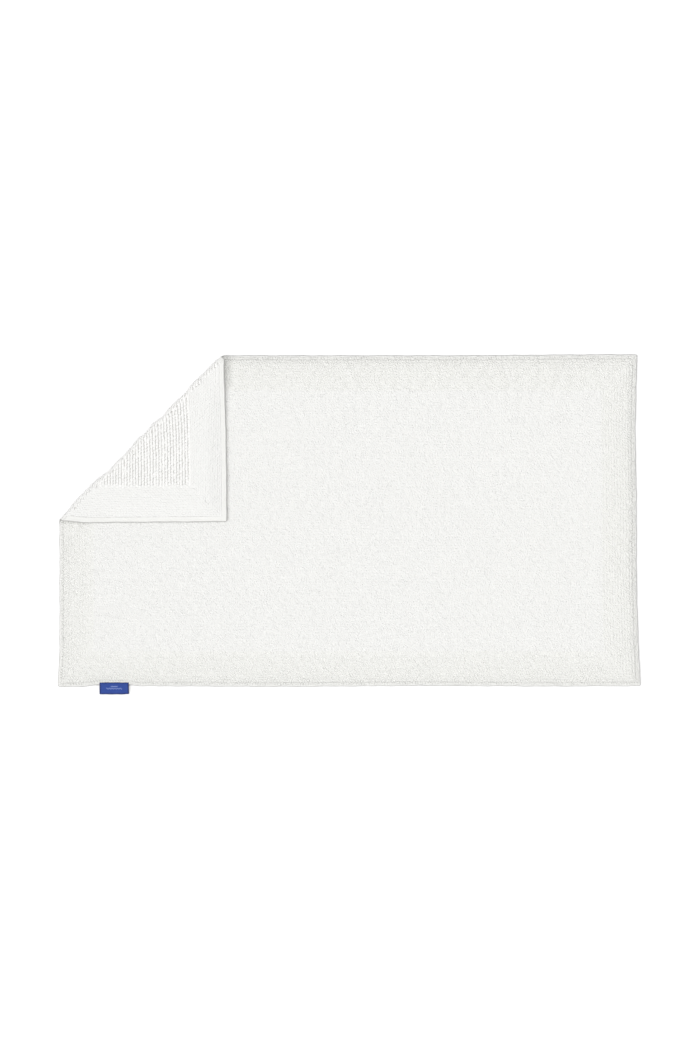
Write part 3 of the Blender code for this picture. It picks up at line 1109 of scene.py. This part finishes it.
back_yarn = back_yarn_material("Back yarn", BACK_YARN_COLOUR, BACK_GROOVE_COLOUR, 0.8)
flat_yarn = back_yarn_material("Border back yarn", FLAT_YARN_COLOUR, FLAT_GROOVE_COLOUR, 0.5)
back_rows = back_stitch_tree()
rib_sizes = {
    "Row Pitch": ROW_PITCH,
    "Stitch Pitch": BACK_STITCH_STEP,
    "Length": BACK_STITCH_LENGTH,
    "Width": BACK_STITCH_WIDTH,
    "Height": BACK_Z,
    "Slant": 0.16,
    "Segments": 5,
    "Rings": 3,
    "Seed": 61,
    "Material": back_yarn,
}
flat_sizes = {
    **rib_sizes,
    "Row Pitch": BORDER_ROW_PITCH,
    "Width": BORDER_STITCH_WIDTH,
    "Height": BORDER_STITCH_HEIGHT,
    "Length": 0.0076,
    "Slant": 0.10,
    "Material": flat_yarn,
}
# On the turned-over corner the stitches are seen from close by.
fine = {"Segments": 6, "Rings": 5}
rib_gap = BEND_START + 0.0004

for number, (start, end) in enumerate(((-field_x, 0.0), (0.0, field_x)), 1):
    sizes = {**rib_sizes, "Seed": 61 + number}
    panel = clipped(field_panel(start, end), rib_gap)
    piece = grown(f"ribs_field_{number}", back_rows, panel, sizes)
    plan_map(piece)
    settle(piece, "mat", "back_stitches", "field_back_stitches")

for seed, side in enumerate(("front", "right", "back", "left"), 71):
    band = band_outline(side, BACK_BAND_START, BORDER_REACH + 0.0030)
    sizes = {**flat_sizes, "Seed": seed}
    piece = grown(f"ribs_border_{side}", back_rows, clipped(band, rib_gap), sizes, side)
    lay(piece, lie_on_floor)
    settle(piece, "mat", "back_stitches", f"border_back_stitches_{side}")
    if side in ("back", "left"):
        sizes = {**flat_sizes, **fine, "Seed": seed + 10}
        piece = grown(f"ribs_flap_border_{side}", back_rows, clipped(band, -rib_gap), sizes, side)
        lay(piece, fold_over)
        settle(piece, "corner_flap", "back_stitches", f"flap_border_back_stitches_{side}")

sizes = {**rib_sizes, **fine, "Seed": 91}
piece = grown("ribs_flap_field", back_rows, clipped(corner, -rib_gap), sizes)
lay(piece, fold_over)
settle(piece, "corner_flap", "back_stitches", "flap_field_back_stitches")

# The ribs that go round the crease are laid out flat, as long as the bend is, and then bent.
bend_length = math.pi * (FOLD_AXIS_Z - BACK_Z / 2)
ends = (CREASE_HEM, CREASE_LENGTH - CREASE_HEM)
edges = (-STRIP_OVERLAP, 1 + STRIP_OVERLAP)
strip = []
for along, across in ((ends[0], edges[0]), (ends[1], edges[0]), (ends[1], edges[1]), (ends[0], edges[1])):
    apart = BEND_START - across * bend_length
    strip.append((-HALF_LENGTH + (along + apart) / math.sqrt(2), (along - apart) / math.sqrt(2)))
piece = grown("ribs_crease", back_rows, strip, {**rib_sizes, **fine, "Seed": 95})
flat = mesh_points(piece)
apart = inward(flat[:, 0], flat[:, 1])
along = (flat[:, 0] + HALF_LENGTH + flat[:, 1]) / math.sqrt(2)
move_points(piece, bend_round((BEND_START - apart) / bend_length, along, flat[:, 2]))
settle(piece, "fold", "back_stitches", "crease_back_stitches")

# ---------------------------------------------------------------------------
# Hem. A cotton tape is folded over the raw edge of the cloth, about 5 mm deep
# on the pile side and 9 mm underneath, and mitred at the corners. It follows the
# folded corner round the crease.
# ---------------------------------------------------------------------------
CORNER_RADIUS = 0.0030
TAPE_THICKNESS = 0.0006
HEM_STEP = 0.0045
HEM_DEPTH = 0.012
HEM_SWELL = 0.00016
HEM_WANDER = 0.00018
HEM_COLOUR = (0.80, 0.80, 0.78, 1)
HEM_GROOVE_COLOUR = (0.74, 0.735, 0.71, 1)
# The rim colour is painted shade along the hem's outer fold.
HEM_RIM_SHADE_COLOUR = (0.40, 0.395, 0.38, 1)
TWILL_PITCH = 0.0009
SIDES = {
    "left": ((-HALF_LENGTH, HALF_WIDTH), (0, -1), (1, 0), 2 * HALF_WIDTH),
    "front": ((-HALF_LENGTH, -HALF_WIDTH), (1, 0), (0, 1), 2 * HALF_LENGTH),
    "right": ((HALF_LENGTH, -HALF_WIDTH), (0, 1), (-1, 0), 2 * HALF_WIDTH),
    "back": ((HALF_LENGTH, HALF_WIDTH), (-1, 0), (0, -1), 2 * HALF_LENGTH),
}


def tape_material():
    """Fine cotton twill, with painted shade darkening it along its outer fold."""
    material, nodes, shader, place = cloth_finish("Hem tape twill", 0.9, 0.15)
    apart = nodes.add("ShaderNodeSeparateXYZ", {}, {"Vector": place})
    wobble = nodes.noise(place, 120.0)
    turns = 2 * math.pi / TWILL_PITCH
    twill = ((apart.also("X") + apart.also("Y")) * turns + wobble * 1.5).sine()
    threads = ((apart.also("X") - apart.also("Y")) * turns * 1.7).sine()
    soft = nodes.noise(place, 45.0, 3.0)
    cloth = twill * 0.3 + threads * 0.15 + nodes.noise(place, 1500.0, 2.0) * 0.5
    colour = nodes.mix((cloth * 0.5 + soft).ease(0.1, 0.9, 0.35, 1.0), HEM_GROOVE_COLOUR, HEM_COLOUR)
    # Painted shade: towards the outer fold the twill is mixed with the dark rim colour.
    rim = nodes.add("ShaderNodeAttribute", {"attribute_name": "rim"}, {}, "Fac")
    painted_shade_and_tone = rim * soft.ease(0.2, 0.8, 0.7, 1.0)
    colour = nodes.mix(painted_shade_and_tone, colour, HEM_RIM_SHADE_COLOUR)
    finish_with(nodes, shader, colour, cloth, 0.00016)
    return material


def tape_section():
    """The tape's cross-section as (distance in from the edge, height), in metres, in a closed loop."""
    outer = [
        (5.2, 3.95), (4.6, 3.85), (4.1, 3.62), (3.5, 3.9), (2.6, 4.05), (1.5, 3.9), (0.7, 3.45),
        (0.2, 2.8), (0.0, 2.1), (0.15, 1.3), (0.7, 0.65), (1.6, 0.3), (2.8, 0.22), (3.6, 0.3),
        (4.1, 0.5), (4.8, 0.3), (6.5, 0.22), (8.0, 0.3), (9.1, 0.45),
    ]
    outer = np.array(outer) / 1000
    before, after = np.roll(outer, 1, 0), np.roll(outer, -1, 0)
    before[0], after[-1] = outer[0], outer[-1]
    run = after - before
    run /= np.linalg.norm(run, axis=1)[:, None]
    inner = outer + TAPE_THICKNESS * np.stack([-run[:, 1], run[:, 0]], -1)
    return np.concatenate([outer, inner[::-1]])


def on_side(side, along, inset):
    """Points of the flat mat, so far along one side and so far in from its edge."""
    (x, y), heading, normal, _ = SIDES[side]
    return np.stack(
        [x + heading[0] * along + normal[0] * inset, y + heading[1] * along + normal[1] * inset], -1
    )


def hem_run(sides, part, inset, step=HEM_STEP):
    """Stations along some of the mat's sides, for points at these distances in from the edge. The
    run starts and ends at the crease, where it is cut at 45 degrees."""
    inset = np.atleast_1d(np.asarray(inset, float))
    arm = np.maximum(inset + 0.0004, CORNER_RADIUS)
    radius = arm - inset
    crease = crease_gap if part == "mat" else -crease_gap
    stations = []
    for number, side in enumerate(sides):
        length = SIDES[side][3]
        cut = HALF_WIDTH - inset + crease
        if side == "back":
            cut = length - cut
        start = cut if number == 0 else arm
        end = cut if number == len(sides) - 1 else length - arm
        span = float(np.mean(end - start))
        for share in np.linspace(0, 1, max(2, round(span / step))):
            stations.append(on_side(side, start + (end - start) * share, inset))
        if number < len(sides) - 1:
            before, after = np.array(SIDES[side][2]), np.array(SIDES[sides[number + 1]][2])
            centre = on_side(sides[number + 1], arm, arm)
            for angle in np.radians((22.5, 45, 67.5)):
                out = before * math.cos(angle) + after * math.sin(angle)
                stations.append(centre - radius[:, None] * out)
    return np.array(stations)


def rumpled(stations, section, seed):
    """The hem's rings, with the small swells and sideways wander of a sewn edge."""
    place = np.arange(len(stations)) * HEM_STEP
    phase = seed * 1.7
    swell = HEM_SWELL * (np.sin(place * 260 + phase) + np.sin(place * 611 + 2 * phase))
    wander = HEM_WANDER * (np.sin(place * 190 + phase) + np.sin(place * 83 + 3 * phase))
    quiet = eased(place, 0, 0.02) * eased(place[::-1], 0, 0.02)
    height = section[:, 1][None, :] + (swell * quiet)[:, None] * eased(section[:, 1], 0.001, 0.004)
    sway = (wander * quiet)[:, None] * (1 - eased(section[:, 0], 0.003, 0.009))
    rings = np.concatenate([stations, height[:, :, None]], -1)
    by_edge = np.abs(np.abs(rings[:, :, :2]) - (HALF_LENGTH, HALF_WIDTH)) < HEM_DEPTH
    outward = np.zeros(rings.shape)
    outward[:, :, :2] = np.sign(rings[:, :, :2]) * by_edge
    return rings + outward * sway[:, :, None]


twill = tape_material()
section = tape_section()
mat_hem_flat = rumpled(hem_run(("left", "front", "right", "back"), "mat", section[:, 0]), section, 1)
mat_hem = swept("hem_mat", placed(mat_hem_flat, lie_on_floor), twill)
settle(mat_hem, "mat", "hem_tape", *(f"hem_tape_{side}" for side in SIDES))

flap_hem_flat = rumpled(hem_run(("back", "left"), "flap", section[:, 0]), section, 2)
flap_hem = swept("hem_flap", placed(flap_hem_flat, fold_over), twill)
settle(flap_hem, "corner_flap", "hem_tape", "flap_hem_tape_back", "flap_hem_tape_left")


def mark_rim(piece):
    """Marks how near each point of a hem is to the tape's outer fold, where the tape is painted with
    shade.
    """
    near = 1 - eased(section[:, 0], 0.0004, 0.0016)
    rim = np.tile(near, len(piece.data.vertices) // len(section))
    marked = piece.data.attributes.new("rim", "FLOAT", "POINT")
    marked.data.foreach_set("value", rim.astype(np.float32))


def round_crease(end, inset, z, across):
    """A point of the hem where it goes round one end of the crease."""
    along = math.sqrt(2) * np.asarray(inset, float)
    if end == "back":
        along = CREASE_LENGTH - along
    return bend_round(across, along, z)


mark_rim(mat_hem)
mark_rim(flap_hem)
for end in ("left", "back"):
    rings = [round_crease(end, section[:, 0], section[:, 1], step) for step in np.linspace(0, 1, 19)]
    piece = swept(f"hem_crease_{end}", rings, twill)
    mark_rim(piece)
    settle(piece, "fold", "hem_tape", f"crease_hem_tape_{end}")

# ---------------------------------------------------------------------------
# Seam. One line of lockstitch holds the hem tape: a needle thread on the pile
# side and a bobbin thread underneath, in stitches 3 mm apart.
# ---------------------------------------------------------------------------
SEAM_INSET = 0.0041
SEAM_PITCH = 0.0030
THREAD_RADIUS = 0.00028
TWIST_PITCH = 0.00022
NEEDLE_Z = 0.00385
BOBBIN_Z = 0.00030
THREAD_COLOUR = (0.84, 0.84, 0.815, 1)
THREAD_SHADE = (0.64, 0.63, 0.60, 1)
LABEL_MIDDLE = -0.4052
LABEL_HALF = 0.0254
# The label lies under the seam there and raises the needle thread.
LABEL_BUILD = 0.0009


def thread_material():
    """Spun sewing thread with a tight twist and a faint sheen."""
    material, nodes, shader, place = cloth_finish("Sewing thread", 0.6, 0.3)
    apart = nodes.add("ShaderNodeSeparateXYZ", {}, {"Vector": place})
    slant = apart.also("X") + apart.also("Y") * 0.8 + apart.also("Z")
    twist = (slant * (math.pi / TWIST_PITCH)).sine().size()
    colour = nodes.mix(twist, THREAD_SHADE, THREAD_COLOUR)
    finish_with(nodes, shader, colour, twist, 0.00006)
    return material


def seam_tree():
    """Stitches in a line along a path."""
    number = "NodeSocketFloat"
    tree, nodes, given = new_tree(
        "Lockstitch",
        {
            "Path": "NodeSocketGeometry",
            "Pitch": number,
            "Stitch Length": number,
            "Thread Radius": number,
            "Seed": "NodeSocketInt",
            "Material": "NodeSocketMaterial",
        },
        "Stitches",
    )
    line = nodes.add("GeometryNodeMeshToCurve", {}, {"Mesh": given})
    spaced = nodes.add(
        "GeometryNodeResampleCurve", {"mode": "LENGTH"}, {"Curve": line, "Length": given.also("Pitch")}
    )
    points = nodes.add("GeometryNodeCurveToPoints", {"mode": "EVALUATED"}, {"Curve": spaced})
    spin = nodes.add(
        "FunctionNodeAlignRotationToVector", {"axis": "Z"}, {"Vector": points.also("Tangent")}
    )
    ball = nodes.add("GeometryNodeMeshUVSphere", {}, {"Segments": 6, "Rings": 4})
    radius = given.also("Thread Radius") * random_value(nodes, 0.9, 1.1, given, 1)
    size = nodes.add(
        "ShaderNodeCombineXYZ",
        {},
        {
            "X": radius,
            "Y": radius,
            "Z": given.also("Stitch Length") * random_value(nodes, 0.46, 0.52, given, 2),
        },
    )
    sewn = nodes.add(
        "GeometryNodeInstanceOnPoints",
        {},
        {"Points": points, "Instance": ball, "Rotation": spin, "Scale": size},
    )
    finished_shape(nodes, sewn, given)
    return tree


def sew(name, path, seed):
    """A line of stitches along a path of points, kept as one plain mesh."""
    line = bpy.data.meshes.new(name + "_path")
    line.from_pydata([tuple(p) for p in path], [(k, k + 1) for k in range(len(path) - 1)], [])
    settings = {
        "Pitch": SEAM_PITCH,
        "Stitch Length": SEAM_PITCH * 0.86,
        "Thread Radius": THREAD_RADIUS,
        "Seed": seed,
        "Material": thread,
    }
    return made_by(lockstitch, name, line, settings)


thread = thread_material()
lockstitch = seam_tree()
for seed, (kind, z) in enumerate((("needle", NEEDLE_Z), ("bobbin", BOBBIN_Z)), 101):
    run = hem_run(("left", "front", "right", "back"), "mat", [SEAM_INSET])[:, 0]
    height = np.full(len(run), z)
    if kind == "needle":
        from_label = np.abs(run[:, 0] - LABEL_MIDDLE)
        over_label = 1 - eased(from_label, LABEL_HALF - 0.001, LABEL_HALF + 0.005)
        height += LABEL_BUILD * over_label * (run[:, 1] < -0.25)
    path = lie_on_floor(np.concatenate([run, height[:, None]], -1))
    piece = sew(f"seam_{kind}_mat", path, seed)
    settle(piece, "mat", "sewing_thread", *(f"{kind}_thread_{side}" for side in SIDES))

    run = hem_run(("back", "left"), "flap", [SEAM_INSET])[:, 0]
    path = fold_over(np.concatenate([run, np.full((len(run), 1), z)], -1))
    piece = sew(f"seam_{kind}_flap", path, seed + 10)
    stands_for = (f"flap_{kind}_thread_{side}" for side in ("back", "left"))
    settle(piece, "corner_flap", "sewing_thread", *stands_for)

    for end in ("left", "back"):
        path = [round_crease(end, SEAM_INSET, z, step) for step in np.linspace(0.0, 1.0, 25)]
        piece = sew(f"seam_{kind}_crease_{end}", path, seed + 20)
        settle(piece, "fold", "sewing_thread", f"crease_{kind}_thread_{end}")

# ---------------------------------------------------------------------------
# Label. A royal blue damask ribbon, folded in two and caught under the front
# seam near the left corner. Its folded end droops over the edge of the hem.
# It is woven with a plain pair of ripples.
# ---------------------------------------------------------------------------
LABEL_TOP_Y = -0.2801
LABEL_END_Y = -0.3004
RIBBON_DROP = LABEL_TOP_Y - LABEL_END_Y
LEAF = 0.00042
RIBBON_REST = 0.00455
RIBBON_COLOUR = (0.020, 0.060, 0.300, 1)
RIBBON_SHADE = (0.010, 0.022, 0.120, 1)
RIPPLE_COLOUR = (0.36, 0.45, 0.74, 1)
RIB_PITCH = 0.00042
# Each ripple: place along the ribbon, half its length, its rise and its number of half waves.
RIPPLES = ((0.0032, 0.0065, 0.00055, 3), (-0.0004, 0.0140, 0.0008, 6))


def ribbon_material():
    """Damask ribbon: fine ribs, darker selvedges, and two ripples in a paler thread."""
    material, nodes, shader, place = cloth_finish("Blue ribbon", 0.55, 0.2)
    apart = nodes.add("ShaderNodeSeparateXYZ", {}, {"Vector": place})
    x = apart.also("X") - LABEL_MIDDLE
    y = apart.also("Y") - (LABEL_END_Y + LABEL_TOP_Y) / 2
    ribs = (apart.also("Y") * (2 * math.pi / RIB_PITCH)).sine()
    picks = (apart.also("X") * (2 * math.pi / RIB_PITCH)).sine()
    threads = ribs * picks * 0.5 + 0.5
    selvedge = x.size().ease(LABEL_HALF - 0.004, LABEL_HALF, 0.0, 0.85)
    uneven = nodes.noise(place, 160.0, 3.0)
    ends = y.size().ease(RIBBON_DROP / 2 - 0.0032, RIBBON_DROP / 2, 0.0, 0.8)
    shade = selvedge.maths("MAXIMUM", selvedge, ends) + (1 - threads) * 0.3 + (uneven - 0.5) * 0.5
    blue = nodes.mix(shade.maths("MAXIMUM", shade, 0.0), RIBBON_COLOUR, RIBBON_SHADE)
    marks = None
    for middle, half, rise, waves in RIPPLES:
        wave = (x * (waves * math.pi / half)).sine() * rise
        line = (y - middle - wave).size().ease(0.00035, 0.0008, 1.0, 0.0)
        line = line * x.size().ease(half - 0.001, half, 1.0, 0.0)
        marks = line if marks is None else marks.maths("MAXIMUM", marks, line)
    upper = apart.also("Z").ease(0.0, 0.0012, 0.0, 1.0)
    colour = nodes.mix(marks * 0.8 * upper * (threads * 0.5 + 0.5), blue, RIPPLE_COLOUR)
    finish_with(nodes, shader, colour, threads + marks * 0.5, 0.00012)
    return material


def ribbon_line(x):
    """The middle of the folded ribbon at one place across it: points (y, z) from seam to folded end."""
    across = (x - LABEL_MIDDLE) / LABEL_HALF
    share = np.linspace(0, 1, 22)
    y = LABEL_TOP_Y + (LABEL_END_Y - LABEL_TOP_Y) * share
    rest = RIBBON_REST + 0.00010 * np.sin(across * 5)
    droop = eased(share, 0.28, 1.0) * (0.0021 + 0.0006 * across + 0.0003 * math.cos(across * 7))
    pressed = -0.00035 * np.exp(-(((share - 0.14) / 0.06) ** 2))
    y = y + 0.0004 * across**2 * eased(share, 0.6, 1.0) + 0.00015 * math.sin(across * 9)
    return np.stack([y, rest - droop + pressed], -1)


ribbon_rings = []
for x in np.linspace(LABEL_MIDDLE - LABEL_HALF, LABEL_MIDDLE + LABEL_HALF, 40):
    middle = ribbon_line(x)
    run = np.gradient(middle, axis=0)
    run /= np.linalg.norm(run, axis=1)[:, None]
    normal = np.stack([run[:, 1], -run[:, 0]], -1)
    gap = (0.00006 + 0.00022 * np.sin(np.linspace(0, math.pi, len(middle))))[:, None]
    fold = middle[-1] + run[-1] * 0.00004
    upper, lower = middle + normal * (LEAF + gap), middle - normal * (LEAF + gap)
    inner_upper, inner_lower = middle + normal * gap, middle - normal * gap
    outside = [upper, [fold + run[-1] * LEAF], lower[::-1]]
    inside = [inner_lower, [fold], inner_upper[::-1]]
    loop = np.concatenate(outside + inside)
    ribbon_rings.append(np.concatenate([np.full((len(loop), 1), x), loop], -1))
ribbon = ribbon_material()
label = swept("label_ribbon", ribbon_rings, ribbon)
settle(label, "mat", "woven_label", "woven_label")

sizes = {
    "cad": [list(map(float, corner)) for corner in cad_box],
    "visual": [list(map(float, corner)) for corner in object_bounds()],
}
